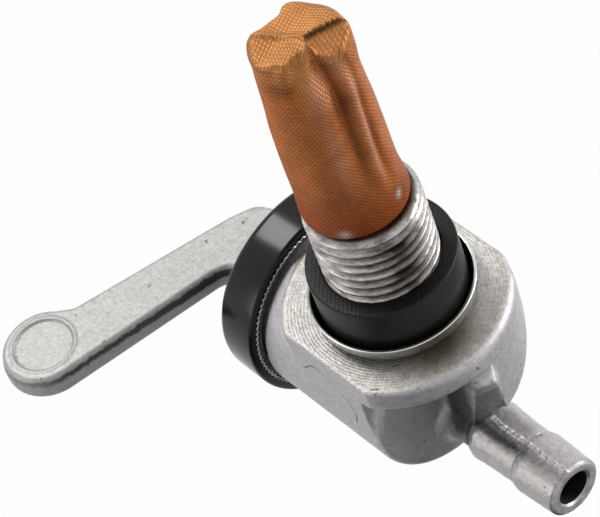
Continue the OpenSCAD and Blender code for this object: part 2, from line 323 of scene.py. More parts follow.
def turned_metal():
    """Flange top: turned rings about the stem axis over the same alloy."""
    n = Nodes("turned_metal")
    x, y, _ = n.split()
    r = n.math("SQRT", n.math("ADD", n.math("MULTIPLY", x, x), n.math("MULTIPLY", y, y)))
    wob = n.math("MULTIPLY", n.noise(120, 2), 0.0006)
    rings = n.math("SINE", n.math("MULTIPLY", n.math("ADD", r, wob), TAU / 0.00036))
    fine = n.noise(3000, 4, 0.75)
    middle = n.noise(900, 4, 0.7)
    grain = n.ramp(fine, [(0.30, 0.34), (0.5, 0.64), (0.70, 0.84)])
    cloud = n.ramp(middle, [(0.30, (0.78, 0.74, 0.68)), (0.58, (1.0, 0.97, 0.92))])
    base = n.mix(1.0, grain, cloud, "MULTIPLY")
    groove = n.ramp(n.math("ADD", n.math("MULTIPLY", rings, 0.25), n.noise(700, 3)), [(0.22, 0.55), (0.45, 1.0)])
    base = n.mix(0.4, base, n.mix(1.0, base, groove, "MULTIPLY"))
    pit = n.math("ADD", n.lines(x, y, PITS, 0.13), n.math("MULTIPLY", n.math("SUBTRACT", fine, 0.5), 0.8))
    base = n.mix(n.ramp(pit, [(0.35, 0.0), (0.75, 1.0)]), (0.05, 0.045, 0.04), base)
    # Painted shadow of the sleeve and gasket on the flange top, with light grime, comes in through the attribute.
    base = n.mix(n.attribute("grime_and_shade"), base, (0.075, 0.060, 0.035))
    height = n.math("ADD", n.math("MULTIPLY", rings, 0.10), fine)
    bump = n.bump(height, 0.00009, 0.7)
    return n.finish(Base_Color=base, Metallic=0.35, Roughness=0.42, Normal=bump)


def thread_metal():
    """Cut thread: streaky bright crests, with painted shade in the grooves and on the side away from the key."""
    n = Nodes("thread_metal")
    fine = n.noise(1500, 4, 0.7)
    stretch = n.add("ShaderNodeMapping", {"vector_type": "POINT"}, Vector=n.coords())
    stretch.inputs["Scale"].default_value = (1.0, 1.0, 5.0)
    streak = n.noise(420, 4, 0.7, stretch.outputs[0])
    base = n.ramp(streak, [(0.34, (0.085, 0.068, 0.058)), (0.48, (0.52, 0.48, 0.45)), (0.62, (0.84, 0.81, 0.785))])
    base = n.mix(0.25, base, n.ramp(fine, [(0.3, 0.06), (0.7, 0.8)]))
    # Painted shade from the attribute darkens the grooves and one side.
    base = n.mix(n.attribute("grime_and_shade"), base, (0.026, 0.017, 0.012))
    return n.finish(Base_Color=base, Metallic=0.60, Roughness=0.34,
                    Normal=n.bump(fine, 0.00006, 0.6))


def gauze():
    """Woven bronze gauze: weave cells from the UV map; tint, painted shade, painted sheen and painted highlights
    from a colour attribute.
    """
    n = Nodes("gauze")
    u, v, _ = n.split(n.coords("UV"))
    su = n.math("SINE", n.math("MULTIPLY", u, math.pi * 140 / 104))
    sv = n.math("SINE", n.math("MULTIPLY", v, math.pi * 140 / 104))
    warp = n.math("POWER", n.math("ABSOLUTE", su), 0.7)
    weft = n.math("POWER", n.math("ABSOLUTE", sv), 0.7)
    wires = n.math("MAXIMUM", warp, weft)
    height = n.math("ADD", n.math("MULTIPLY", n.math("MULTIPLY", su, sv), 0.5), wires)
    tone_and_light = n.add("ShaderNodeAttribute", {"attribute_name": "tone_and_light"}).outputs["Color"]
    hole = n.ramp(height, [(0.30, 0.52), (0.95, 1.05)])
    base = n.mix(1.0, tone_and_light, hole, "MULTIPLY")
    return n.finish(Base_Color=base, Metallic=0.55, Roughness=0.50, Specular_IOR_Level=0.15,
                    Normal=n.bump(height, 0.00007, 0.6))


def plain(name, colour, metallic, rough, grain=0.0, scale=2500, vary=0.25, **extra):
    """One material with slight cloudiness, a fine grain, and painted shade and grime from a colour attribute."""
    n = Nodes(name)
    cloud = n.noise(scale * 0.35, 3, 0.6)
    low, high = (tuple(c * (1 + f * vary) for c in colour) for f in (-1, 1))
    base = n.ramp(cloud, [(0.3, low), (0.7, tuple(min(c, 1.0) for c in high))])
    # Painted shade, and grime where a part has it, from the attribute.
    base = n.mix(n.attribute("grime_and_shade"), base, (0.030, 0.028, 0.022))
    gloss = n.math("ADD", n.math("MULTIPLY", cloud, 0.16 * rough), rough * 0.92)
    inputs = dict(Base_Color=base, Metallic=metallic, Roughness=gloss, **extra)
    if grain:
        inputs["Normal"] = n.bump(n.noise(scale, 3, 0.6), grain * MM, 0.6)
    return n.finish(**inputs)


def gasket_rubber():
    """Black rubber with a moulded cross-hatch on its top face."""
    n = Nodes("gasket_rubber")
    x, y, z = n.split()
    cloud = n.noise(700, 3)
    hatch = [n.math("SINE", n.math("MULTIPLY", n.math(op, x, y), TAU / 0.00065)) for op in ("ADD", "SUBTRACT")]
    top = n.math("GREATER_THAN", z, -0.0003)
    lines = n.math("MULTIPLY", n.math("MAXIMUM", *hatch), top)
    base = n.ramp(n.math("ADD", n.math("MULTIPLY", lines, 0.10), cloud),
                  [(0.3, (0.006, 0.0055, 0.005)), (0.8, (0.017, 0.014, 0.012))])
    height = n.math("ADD", lines, n.math("MULTIPLY", n.noise(1500, 3), 0.6))
    return n.finish(Base_Color=base, Metallic=0.0, Roughness=0.42, Specular_IOR_Level=0.18,
                    Normal=n.bump(height, 0.00003, 0.35))


MAT = {
    "cast": cast_metal("cast_metal", 0.96, (1.0, 0.955, 0.995), 0.35),
    # The lever and barb copies of the alloy are made darker by their shade value: painted shade.
    "arm": cast_metal("lever_metal", 0.73, (1.0, 0.985, 0.955), 0.35),
    "barb": cast_metal("barb_metal", 0.87, (1.0, 0.965, 0.945), 0.55),
    "turned": turned_metal(),
    "thread": thread_metal(),
    "gauze": gauze(),
    "cap": plain("cap_plastic", (0.0065, 0.0055, 0.0065), 0.0, 0.17, 0.004, 300, Specular_IOR_Level=0.26),
    "rubber": gasket_rubber(),
    "zinc": plain("bright_zinc", (0.70, 0.70, 0.68), 1.0, 0.22, 0.01, 1800, 0.08),
    "steel": plain("steel", (0.55, 0.53, 0.50), 1.0, 0.32, 0.01, 1800, 0.15),
    "knurl": plain("knurled_steel", (0.26, 0.25, 0.24), 1.0, 0.35, 0.02, 2500, 0.4),
    "dark": plain("dark_gap", (0.012, 0.010, 0.010), 0.0, 0.7),
}


def dress(obj, material, body, replaced=()):
    obj.data.materials.clear()
    obj.data.materials.append(MAT[material])
    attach(obj, body)
    if replaced:
        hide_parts(*replaced)


# Body casting
# Corners of the rib between the flange and the barb, with the bright ledge at its top
RIB = [(5, -2.0, -9.9), (5, 1.3, -9.9), (12.6, -2.0, -10.6), (12.7, 1.3, -10.6), (13.0, -1.9, -11.0),
       (13.1, -0.5, -11.2), (13.4, -2.2, -11.6), (14.5, 0.2, -12.0), (13.1, 1.3, -12.6),
       (11.2, -2.0, -18.2), (12.5, 1.3, -19.4), (10.4, -2.0, -21.6), (11.0, 1.3, -21.6),
       (5, -2.0, -21.6), (5, 1.3, -21.6)]


def make_casting():
    """Flange, housing, cap rim, web and rib: one softened solid."""
    base = FLANGE_TOP - FLANGE_T

    def trim(r, h, a):
        """The corner of the far flat is worn round."""
        return r - 0.42 * bell(math.degrees(a), 61, 8) if r > 12 else r

    def round_edge(r, h, a):
        """The top edge of the flange is softer on the side of the barb."""
        r = trim(r, h, a)
        turn = (math.degrees(a) + 180) % 360 - 180
        soft = 0.30 + 1.0 * bell(turn, 20, 48)
        depth = h - (FLANGE_TOP - soft)
        if r < FLANGE_R - 0.5 or depth <= 0:
            return r
        return r - soft + math.sqrt(max(0.0, soft ** 2 - depth ** 2))

    rows = [(0, base - 0.4), (FLANGE_R - 0.5, base - 0.4), (FLANGE_R, base + 0.05)]
    rows += [(FLANGE_R, FLANGE_TOP - 1.3 + 0.13 * k) for k in range(11)] + [(0, FLANGE_TOP)]
    flange = lathe("body_casting", rows, 180, warp=round_edge)
    for side in (-1, 1):
        low, high = sorted((side * FLAT_Y, side * 30))
        boolean(flange, box("cut", (-30, low, -30), (30, high, 30)), "DIFFERENCE")
    house = lathe("house", fillet([
        (0, -HOUSE_BACK), (HOUSE_R, -HOUSE_BACK, 0.4), (HOUSE_R, HOUSE_FRONT, 1.0), (0, HOUSE_FRONT)]),
        180, "X", (0, 0, VALVE_Z))
    boolean(house, box("cut", (-30, -30, FLANGE_TOP - 0.5), (30, 30, 30)), "DIFFERENCE")
    boolean(flange, house)
    side = lathe("side", [(0, VALVE_Z), (FLANGE_R - 0.15, VALVE_Z), (FLANGE_R - 0.15, FLANGE_TOP - 1),
                          (0, FLANGE_TOP - 1)], 160)
    boolean(side, box("keep", (-HOUSE_BACK, -HOUSE_R, -30), (HOUSE_FRONT - 1.0, HOUSE_R, 0)), "INTERSECT")
    boolean(flange, side)
    web = lathe("web", [(0, VALVE_Z - 5.6), (FLANGE_R - 0.05, VALVE_Z - 5.6),
                        (FLANGE_R - 0.05, FLANGE_TOP - 1.4), (0, FLANGE_TOP - 1.4)], 180, warp=trim)
    boolean(web, lathe("web_round", [(0, 1), (10.9, 1), (10.9, 14), (0, 14)], 160, "X",
                       (0, 0, FLANGE_TOP - 0.7)), "INTERSECT")
    boolean(web, box("keep", (0, 1.1, -40), (30, FLAT_Y - 0.1, 0)), "INTERSECT")
    boolean(flange, web)
    boolean(flange, hull("rib", RIB))
    rim = lathe("rim", fillet([(0, -17.3), (10.3, -17.3, 0.3), (10.3, -13), (0, -13)]), 128, "X",
                (0, 0, VALVE_Z))
    boolean(flange, rim)
    root = lathe("root", [(0, 3), (4.7, 3), (4.7, 5.95), (4.2, 6.15), (3.75, 6.55), (3.4, 7.1),
                          (3.2, 7.8), (3.15, 9.6), (0, 9.6)], 96, "X", (0, 0, BARB_Z))
    boolean(flange, root)
    soften(flange, 0.22, 3)
    return flange


def casting_grime_and_shade(p, n):
    """Painted shade in the hollow beside the rib, on the barb root, on the rib face and under the flange, a painted
    shadow on the flange top beside the washer, and light random grime.
    """
    x, y, z = p
    # Painted shade in the hollow beside the rib.
    hollow = max(bell((p - Vector((8.8, -2.4, z0))).length, 0, 3.3) for z0 in (-20.8, -18.0, -15.0, -12.6))
    d = 1.5 * hollow * smooth(x, 5.9, 7.2) * smooth(-y, 1.1, 1.8)
    axis = math.hypot(y, z - BARB_Z)
    # Painted shade on the barb root.
    if axis < 4.4 and x > 6.6:
        d = max(d, 0.68 * smooth(x, 6.8, 7.4))
    # Painted shade on the rib face below its ledge.
    if x > 9.8 and y < 1.2 and z < -13.0:
        d = max(d, 0.52 * smooth(-z, 13.1, 13.6) + 0.25 * noise.noise(p * 2.6))
    # Painted shade, speckled, in the rib's top corner.
    speck = 0.35 + 1.3 * abs(noise.noise(p * 3.0))
    d = max(d, 1.1 * bell((p - Vector((12.5, -2.3, -11.6))).length, 0, 1.3) * speck)
    # Painted shade in a band under the flange's edge.
    if y < 0.8:
        under = smooth(z, -11.6, -11.0) * (1 - smooth(z, -10.75, -10.6)) * smooth(x, 4.0, 6.5)
        d = max(d, 0.45 * under)
    # Painted shadow of the sleeve and gasket on the flange top, toward the barb.
    if z > FLANGE_TOP - 0.3:
        r, turn = math.hypot(x, y), math.degrees(math.atan2(y, x))
        d = max(d, bell(turn, -12, 38) * (1 - smooth(r + 0.3 * noise.noise(p), 9.9, 13.1)))
    # Light random grime everywhere.
    return clamp(d + 0.10 * smooth(noise.noise(p * 0.9 + Vector((7, 3, 1))), 0.25, 0.6))


casting = make_casting()
paint(casting, "grime_and_shade", casting_grime_and_shade)
dress(casting, "cast", "tap", ("body",))
casting.data.materials.append(MAT["turned"])
for face in casting.data.polygons:
    if face.normal.z > 0.9 and face.center.z > (FLANGE_TOP - 0.25) * MM:
        face.material_index = 1


# Threaded stem
def thread_radius(h, a):
    """Radius of the helical thread at height h and angle a."""
    turn = (h / PITCH - a / TAU) % 1.0
    tooth = abs(turn * 2 - 1)
    depth = 0.80 * (1 - smooth(tooth, 0.12, 0.86))
    rough = 0.05 * noise.noise(Vector((math.cos(a) * 9, math.sin(a) * 9, h * 2.2)))
    fade = 1 - smooth(h, STEM_TOP - 2.0, STEM_TOP - 0.7) * (0.55 + 0.45 * math.cos(a - 0.4))
    return STEM_R - depth * (0.25 + 0.75 * fade) + rough


def make_stem():
    profile = []
    h = -7.0
    while h < STEM_TOP - 0.35:
        profile.append((None, h))
        h += 0.07
    rim = [(STEM_R - 0.55, STEM_TOP - 0.2), (STEM_R - 0.75, STEM_TOP), (5.35, STEM_TOP),
           (5.2, STEM_TOP - 0.2), (5.15, 2.5), (3.6, 2.0), (3.5, -6.8), (0.0, -7.0)]

    def warp(r, h, a):
        return thread_radius(h, a) if r is None else r

    start = [(0.0, -7.0)]
    return lathe("stem_thread", start + profile + rim, 256, warp=warp)


stem = make_stem()


def stem_painted_shade(p, n):
    r = math.hypot(p.x, p.y)
    # Painted shade in the thread grooves.
    valley = 1 - smooth(r, STEM_R - 0.75, STEM_R - 0.35)
    turn = math.degrees(math.atan2(p.y, p.x))
    # Painted shade in a band on the side away from the key, fading out near the mouth.
    shade_band = 1.05 * bell(turn, -8, 30) * (0.8 + 0.6 * noise.noise(Vector((turn * 0.05, p.z * 1.3, 2))))
    return clamp(0.85 * valley + shade_band * (1 - smooth(p.z, 8.6, 9.4)))


paint(stem, "grime_and_shade", stem_painted_shade)
dress(stem, "thread", "tap")


# Hose barb
RIDGE = math.radians(94)


def make_barb():
    profile = fillet([
        (0, 8.5), (3.0, 8.5), (3.0, 10.0), (3.45, 10.05, 0.2), (3.75, 10.9, 0.8), (3.60, 12.4, 1.0),
        (3.42, 16.85, 0.1), (3.35, 17.0, 0.05), (3.60, 17.1, 0.1), (3.78, 17.9, 0.6),
        (3.55, BARB_END - 0.3, 0.3), (3.2, BARB_END, 0.25), (2.35, BARB_END, 0.2),
        (2.1, BARB_END - 0.35, 0.2), (2.05, 8.9), (0, 8.9)], 6)
    dense = []
    for (r0, h0), (r1, h1) in zip(profile, profile[1:]):
        count = max(1, int(abs(h1 - h0) / 0.13)) if r0 > 3 and r1 > 3 else 1
        dense += [(r0 + (r1 - r0) * k / count, h0 + (h1 - h0) * k / count) for k in range(count)]

    def warp(r, h, a):
        """A ragged parting flash runs along the top of the barrels, with a hollow beside it."""
        if r < 3.0:
            return r
        wander = 0.02 * math.sin(h) + 0.04 * noise.noise(Vector((h * 2.5, 6.1, 0.7)))
        off = (a - RIDGE - wander + math.pi) % TAU - math.pi
        rough = 0.45 + 1.6 * abs(noise.noise(Vector((h * 3.0, 1.3 + a * 2, 0.4))))
        r += 0.30 * rough * math.exp(-(off * r / 0.20) ** 2) - 0.14 * bell(off, 0.30, 0.16)
        return r + 0.04 * noise.noise(Vector((h * 1.7, math.cos(a) * 6, math.sin(a) * 6)))

    return lathe("hose_barb", dense + [profile[-1]], 256, "X", (0, 0, BARB_Z), warp=warp)


def barb_grime_and_shade(p, n):
    """Painted shade beside the flash and over the first barrel, behind both shoulders, along the rim, on the end
    face and in the bore, with light random grime.
    """
    r = math.hypot(p.y, p.z - BARB_Z)
    if r < 2.15 and p.x < 23.1:
        return 1.0
    off = (math.atan2(p.z - BARB_Z, p.y) - RIDGE + math.pi) % TAU - math.pi
    first = 1 - smooth(p.x, 15.5, 18.0)
    d = (0.40 + 0.42 * first) * bell(off, 0.26 + 0.08 * first, 0.15 + 0.11 * first)
    d = max(d, 0.45 * first * bell(off, -0.40, 0.30), 0.75 * bell(p.x, 16.98, 0.11))
    d = max(d, 0.8 * bell(p.x, 10.1, 0.12), 0.45 * bell(p.x, BARB_END - 0.32, 0.10) * smooth(r, 3.0, 3.3))
    if p.x > BARB_END - 0.2:
        d = max(d, 0.4 * (1 - smooth(r + 0.5 * noise.noise(p), 2.3, 2.65)))
    return clamp(d + 0.12 * noise.noise(p * 2.0))


barb = make_barb()
paint(barb, "grime_and_shade", barb_grime_and_shade)
dress(barb, "barb", "tap")


# Gasket, washer and cap
gasket = lathe("gasket_ring", fillet([
    (6.65, -7.1), (7.8, -7.1, 0.2), (8.5, -6.2, 0.5), (8.5, 0, 0.35), (6.7, 0, 0.15)], 5),
    160, closed=True)
dress(gasket, "rubber", "tap", ("gasket",))

washer = lathe("cup_washer_dish", fillet([
    (6.65, FLANGE_TOP + 0.02), (8.3, FLANGE_TOP + 0.02, 0.8), (9.15, FLANGE_TOP + 0.9, 0.6),
    (9.5, FLANGE_TOP + 2.6, 0.1), (9.1, FLANGE_TOP + 2.6, 0.1), (8.7, FLANGE_TOP + 0.95, 0.3),
    (8.1, FLANGE_TOP + 0.5, 0.3), (6.65, FLANGE_TOP + 0.5)], 5), 160, closed=True)


def washer_dark_and_shade(p, n):
    """Darker over the left of the washer, and painted shade thinly round the rest of its inside."""
    turn = (math.degrees(math.atan2(p.y, p.x)) + 115 + 180) % 360 - 180
    inner = 1 - smooth(math.hypot(p.x, p.y), 9.0, 9.25)
    return clamp(0.85 * bell(turn, 0, 55) + 0.6 * inner)


paint(washer, "grime_and_shade", washer_dark_and_shade)
dress(washer, "zinc", "tap", ("cup_washer",))

cap = lathe("retaining_cap", fillet([
    (11.55, -CAP_NEAR - 0.5), (11.7, -CAP_NEAR, 0.15), (CAP_R, -CAP_NEAR, 0.35),
    (CAP_R, -CAP_FAR, 1.0), (7.6, -CAP_FAR, 0.3), (7.6, -CAP_FAR + 1.9), (10.48, -CAP_FAR + 1.9), (10.48, -CAP_NEAR - 0.5)], 6), 192, "X", (0, 0, VALVE_Z), closed=True)
dress(cap, "cap", "tap", ("cap_ring",))


def knurl_warp(r, h, a):
    if r < 11.6:
        return r
    teeth = 96
    tooth = abs((a * teeth / TAU) % 1.0 * 2 - 1)
    return r - 0.28 * tooth


knurl = lathe("knurled_edge", [
    (10.9, -CAP_NEAR - 0.3), (11.95, -CAP_NEAR - 0.3), (11.95, -CAP_NEAR + 0.12),
    (11.62, -CAP_NEAR + 0.12), (11.55, -CAP_NEAR - 0.1), (10.9, -CAP_NEAR - 0.1)],
    576, "X", (0, 0, VALVE_Z), closed=True, warp=knurl_warp)
dress(knurl, "knurl", "tap")


# Lever
GRIP = (-35.8, -26.95)
GRIP_R = 5.35
ARM_T = 3.2
ARM_TAPER = 10.1
RECESS_R = 3.75


def arm_loop():
    """Rounded outline of the arm seen from above, as dense points."""
    start, end = -math.radians(ARM_TAPER), math.radians(124) - TAU

    def on_grip(a):
        return (GRIP[0] + GRIP_R * math.cos(a), GRIP[1] + GRIP_R * math.sin(a))

    path = fillet([(-18.6, -5.4), (-26.0, -5.4, 1.5), (-26.9, -7.4, 2.0), on_grip(start)], 10)
    path += [on_grip(start + (end - start) * k / 60) for k in range(1, 60)]
    path += fillet([on_grip(end), (-37.3, -20.9, 1.6), (-33.2, -5.0, 8.0), (-32.0, -0.4, 5.0),
                    (-30.6, 2.9, 3.0), (-27.0, 4.4, 2.5), (-18.6, 4.4)], 10)
    dense = []
    for p, q in zip(path, path[1:] + path[:1]):
        count = max(1, int(math.dist(p, q) / 0.35))
        dense += [(p[0] + (q[0] - p[0]) * k / count, p[1] + (q[1] - p[1]) * k / count)
                  for k in range(count)]
    return dense


def inset(loop, amount):
    out = []
    n = len(loop)
    for i in range(n):
        ax, ay = loop[i - 1]
        bx, by = loop[(i + 1) % n]
        tx, ty = bx - ax, by - ay
        size = math.hypot(tx, ty) or 1
        out.append((loop[i][0] + ty / size * amount, loop[i][1] - tx / size * amount))
    return out


def make_lever():
    """A plate with rounded edges, its neck and a round recess at the grip."""
    loop = arm_loop()
    area = sum(a[0] * b[1] - b[0] * a[1] for a, b in zip(loop, loop[1:] + loop[:1]))
    side = -1 if area > 0 else 1
    top, low = VALVE_Z + ARM_T / 2, VALVE_Z - ARM_T / 2
    levels = [(low, 0.45), (low + 0.06, 0.26), (low + 0.2, 0.12), (low + 0.45, 0.02), (low + 0.8, 0.0),
              (top - 1.4, 0.0), (top - 1.05, 0.10), (top - 0.9, 0.18), (top - 0.62, 0.18),
              (top - 0.34, 0.30), (top - 0.15, 0.44), (top - 0.04, 0.60), (top, 0.80)]
    verts, faces = [], []
    n = len(loop)
    for z, amount in levels:
        verts += [(x, y, z) for x, y in inset(loop, side * amount)]
    for i in range(len(levels) - 1):
        for k in range(n):
            m = (k + 1) % n
            faces.append((i * n + k, i * n + m, (i + 1) * n + m, (i + 1) * n + k))
    outer = (len(levels) - 1) * n
    faces += [tuple(reversed(range(n))), tuple(range(outer, outer + n))]
    plate = new_object("lever_casting", verts, faces)
    neck = lathe("neck", fillet([(0, -20.4), (7.0, -20.4, 0.4), (7.0, -15.5), (0, -15.5)]),
                 96, "X", (0, 0, VALVE_Z))
    boolean(plate, neck)
    ring = lathe("ring", [(0, top - 0.5), (RECESS_R + 0.30, top - 0.5), (RECESS_R + 0.30, top + 0.10),
                          (0, top + 0.10)], 128, centre=(*GRIP, 0))
    boolean(plate, ring)
    recess = lathe("recess", [(0, top - 0.27), (RECESS_R - 0.10, top - 0.27), (RECESS_R, top + 1),
                              (0, top + 1)], 128, centre=(*GRIP, 0))
    boolean(plate, recess, "DIFFERENCE")
    soften(plate, 0.13, 2)
    return plate


def lever_painted_shade(p, n):
    """Painted shade: a rough dark band runs below the top edge of the arm, and a darker line along its bottom edge.
    """
    top = VALVE_Z + ARM_T / 2
    ragged = 0.22 * noise.noise(Vector((p.x * 1.1, p.y * 1.1, 2.0))) + 0.12 * noise.noise(p * 4.0)
    depth = top - p.z + ragged
    deep = 0.95 + 0.35 * smooth(p.y, -26, -10)
    band = smooth(depth, 0.35, 0.60) * (1 - smooth(depth, deep, deep + 0.35))
    reach = smooth(p.y, -32, -27) * smooth(p.x, -38, -34)
    line = 1 - smooth(p.z - VALVE_Z + ARM_T / 2, 0.15, 0.5)
    return max((0.35 + 0.6 * reach) * band * smooth(1 - abs(n.z), 0.1, 0.5), 0.5 * line)


lever = make_lever()
paint(lever, "grime_and_shade", lever_painted_shade)
dress(lever, "arm", "lever", ("lever",))
hub = lathe("lever_hub", fillet([(0, -15.8), (9.1, -15.8, 0.2), (9.1, -12.85, 0.2), (0, -12.85)]),
            96, "X", (0, 0, VALVE_Z))
dress(hub, "cast", "lever")
paint(hub, "grime_and_shade", lambda p, n: 0.0)


# Gauze sleeve
VIEW_AZ = math.radians(-25.3)
WEAVE = 0.37
SLEEVE_TOP = 36.0
# Height, half width, half depth and sideways shift of the sleeve wall
SLEEVE_ROWS = [(9.0, 5.05, 5.05, 0.0), (9.75, 5.5, 5.35, -0.25), (10.6, 5.95, 5.9, -0.35),
               (14, 5.74, 5.9, -0.43), (20, 5.76, 5.7, -0.49), (24, 5.62, 5.5, -0.49),
               (27, 5.35, 5.3, -0.45), (30, 5.2, 5.15, -0.42), (33, 5.28, 5.0, -0.3), (37, 5.1, 4.8, 0.0)]
# Angle from the viewer's side in degrees, radius and height of the rim of the folded end
RIM_ROWS = [(-176, 4.40, 36.1), (-163, 3.63, 36.1), (-131, 4.03, 36.1), (-115, 5.15, 36.0),
            (-95, 5.45, 35.9), (-70, 5.55, 35.6), (-54, 4.95, 35.4), (-39, 4.60, 35.3),
            (-30, 3.55, 35.2), (-11, 2.90, 35.1), (8, 2.40, 34.2), (22, 3.3, 33.8), (38, 4.3, 33.8),
            (58, 4.9, 34.2), (76, 5.15, 35.2), (98, 4.49, 36.0), (121, 4.12, 36.1),
            (145, 4.03, 36.1), (173, 4.5, 36.1)]
FOLD = (0.94, 0.11)
# Painted highlights on the collar where it shows through the gauze: angle in degrees, height and size
COLLAR_HIGHLIGHTS = [(-29, 11.15, 0.62), (42, 12.8, 0.50)]


def curve(rows, x, column, period=0):
    """Reads a column of a table of rows with a curve that passes through each row."""
    n = len(rows)
    if period:
        x = rows[0][0] + (x - rows[0][0]) % period
    elif x <= rows[0][0] or x >= rows[-1][0]:
        return rows[0][column] if x <= rows[0][0] else rows[-1][column]

    def row(k):
        if period:
            return rows[k % n][0] + period * (k // n), rows[k % n][column]
        k = min(max(k, 0), n - 1)
        return rows[k][0], rows[k][column]

    k = 0
    while row(k + 1)[0] < x:
        k += 1
    (x0, y0), (x1, y1), (x2, y2), (x3, y3) = row(k - 1), row(k), row(k + 1), row(k + 2)
    m1 = (y2 - y0) / (x2 - x0)
    m2 = (y3 - y1) / (x3 - x1)
    w = x2 - x1
    t = (x - x1) / w
    return ((2 * t ** 3 - 3 * t ** 2 + 1) * y1 + (t ** 3 - 2 * t ** 2 + t) * w * m1
            + (3 * t ** 2 - 2 * t ** 3) * y2 + (t ** 3 - t ** 2) * w * m2)


def rim_height(a):
    return curve(RIM_ROWS, math.degrees(a), 2, 360)


def sleeve_wall(a, h):
    """Depth and side of the wall. a is the angle from the side that faces the viewer."""
    w, d, shift = (curve(SLEEVE_ROWS, h, c) for c in (1, 2, 3))
    power = 2.0 + 0.5 * smooth(h, 20, 37)
    c, s = math.cos(a), math.sin(a)
    r = (abs(c / d) ** power + abs(s / w) ** power) ** (-1 / power)
    valley_at = 0.24 + 0.10 * smooth(h, 18, 34)
    r -= 0.9 * smooth(h, 14, 32) * bell(a, valley_at, 0.15)
    r += 0.30 * smooth(h, 13, 20) * bell(a, valley_at + 0.30, 0.13)
    r -= 0.35 * smooth(h, 13, 20) * (1 - smooth(h, 26, 32)) * bell(a, valley_at + 0.52, 0.12)
    r += 0.25 * smooth(h, 14, 30) * bell(a, valley_at - 0.45, 0.22)
    r -= 0.45 * bell(h, 33.0, 1.1) * bell(a, -0.75, 0.25)
    lean = smooth(h, 29.5, rim_height(a) + 0.4)
    r += (curve(RIM_ROWS, math.degrees(a), 1, 360) - r) * lean
    lumps = 0.14 * noise.noise(Vector((c * 1.3, s * 1.3, h * 0.12 + 5)))
    ribs = (0.008 + 0.052 * bell(a, -1.4, 0.7)) * math.sin(TAU * h / 0.55)
    r += lumps + ribs
    return r * c, r * s + shift * (1 - lean)


def fold_crease(u):
    return 0.94 - 0.30 * smooth(u, 0, 1.5) - 0.35 * smooth(u, 1.2, 4.3)


def fold_step(d, u):
    """0 on the upper flaps of the folded end, 1 on its lower right slope."""
    edge = 0.11 + 0.42 * smooth(d, 0.9, 2.3) - 1.6 * smooth(d, 2.3, 4.0)
    ragged = 0.14 * noise.noise(Vector((d * 3, u * 3, 4.0)))
    return smooth(d - fold_crease(u) + ragged, -0.15, 0.40) * smooth(u - edge + ragged, -0.15, 0.45)


def fold_height(d, u):
    """Height of the folded end: a back flap, a lower right slope and a front left flap."""
    ridge = (d + 2.16) * 0.82 - (u + 4.78) * 0.52
    back = SLEEVE_TOP + 0.25 + 0.12 * math.sin(d * 1.3 + u * 0.8) + 0.22 * bell(ridge, 0, 0.35)
    left = back - 0.16 * max(0.0, ridge)
    right = SLEEVE_TOP - 0.35 - 0.50 * max(0.0, d - fold_crease(u))
    return left + (right - left) * fold_step(d, u)


def to_view(d, u, z):
    """From depth, side and height as the viewer sees them to X, Y, Z."""
    cv, sv = math.cos(VIEW_AZ), math.sin(VIEW_AZ)
    return (d * cv - u * sv, d * sv + u * cv, z)


def make_sleeve():
    columns, verts, faces, uvs = 240, [], [], []
    angles = [-math.pi + TAU * k / columns for k in range(columns)]
    rows = 13 + int((SLEEVE_TOP - 9.0) / (WEAVE / 5))
    for i in range(rows):
        for k, a in enumerate(angles):
            top = rim_height(a) - 0.25
            h = 3.0 + i * 0.5 if i < 13 else 9.5 + (top - 9.5) * (i - 13) / (rows - 14)
            verts.append(to_view(*sleeve_wall(a, h), h))
            uvs.append((k * 104 / columns, h / WEAVE))
    rings = 44
    rim = [sleeve_wall(a, rim_height(a) - 0.25) for a in angles]
    for j in range(1, rings + 1):
        t = j / rings
        for k, a in enumerate(angles):
            d = rim[k][0] + (FOLD[0] - rim[k][0]) * t
            u = rim[k][1] + (FOLD[1] - rim[k][1]) * t
            low = rim_height(a) - 0.25
            inward = math.dist(rim[k], (d, u))
            z = low + (fold_height(d, u) - low) * math.sin(clamp(inward / 0.7) * math.pi / 2)
            verts.append(to_view(d, u, z))
            uvs.append(((d + 0.8 * (z - SLEEVE_TOP)) / WEAVE, (u - 0.6 * (z - SLEEVE_TOP)) / WEAVE))
    for i in range(rows + rings - 1):
        for k in range(columns):
            m = (k + 1) % columns
            faces.append((i * columns + k, i * columns + m, (i + 1) * columns + m, (i + 1) * columns + k))
    mesh = bpy.data.meshes.new("gauze_sleeve")
    mesh.from_pydata([tuple(MM * c for c in v) for v in verts], [], faces)
    obj = bpy.data.objects.new("gauze_sleeve", mesh)
    bpy.context.scene.collection.objects.link(obj)
    layer = mesh.uv_layers.new(name="weave")
    for poly in mesh.polygons:
        wrap = max(uvs[v][0] for v in poly.vertices) - min(uvs[v][0] for v in poly.vertices) > 50
        for loop in poly.loop_indices:
            u, v = uvs[mesh.loops[loop].vertex_index]
            layer.data[loop].uv = (u + 104 if wrap and u < 50 else u, v)
    mesh.polygons.foreach_set("use_smooth", [True] * len(mesh.polygons))
    return obj


